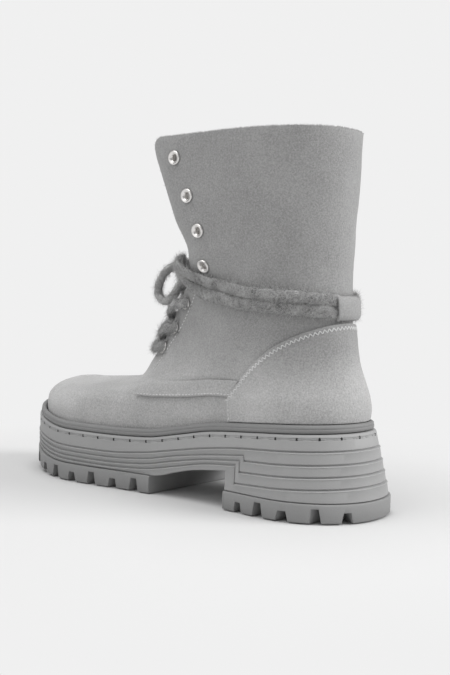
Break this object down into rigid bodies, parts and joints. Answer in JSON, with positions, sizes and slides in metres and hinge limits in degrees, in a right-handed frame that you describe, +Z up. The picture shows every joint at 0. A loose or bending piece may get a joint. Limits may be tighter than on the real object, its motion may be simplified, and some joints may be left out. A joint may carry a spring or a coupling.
{
  "type": "lace-up ankle boot",
  "caption": "Left suede lace-up ankle boot on a chunky lugged sole, shaft open at the top, lace wrapped round the ankle, standing empty.",
  "frame": {"origin": "on the floor, at the middle of the sole's length and width", "axes": "-X to the toe, -Y to the outer (lateral) side, +Z up"},
  "size_m": [0.2865, 0.1016, 0.2239],
  "materials": {
    "suede": "grey nubuck suede",
    "lining": "short fleece",
    "rubber": "matt moulded rubber",
    "steel": "satin nickel",
    "wool": "fuzzy wool-like lace"
  },
  "bodies": {
    "root": {"upper": "suede", "heel_counter": "suede", "side_band_lateral": "suede", "side_band_medial": "suede", "tongue": "suede", "back_keeper": "suede", "insole": "lining", "welt": "rubber", "midsole": "rubber", "outsole_heel": "rubber", "outsole_forefoot": "rubber", "lace_crossings": "wool", "lace_wrap": "wool", "lace_knot": "wool", "lace_loop_lateral": "wool", "lace_loop_medial": "wool", "lace_end_front": "wool", "lace_end_back": "wool", "eyelet_lateral_1": "steel", "eyelet_lateral_2": "steel", "eyelet_lateral_3": "steel", "eyelet_lateral_4": "steel", "eyelet_lateral_5": "steel", "eyelet_lateral_6": "steel", "eyelet_lateral_7": "steel", "eyelet_medial_1": "steel", "eyelet_medial_2": "steel", "eyelet_medial_3": "steel", "eyelet_medial_4": "steel", "eyelet_medial_5": "steel", "eyelet_medial_6": "steel", "eyelet_medial_7": "steel"}
  },
  "joints": []
}
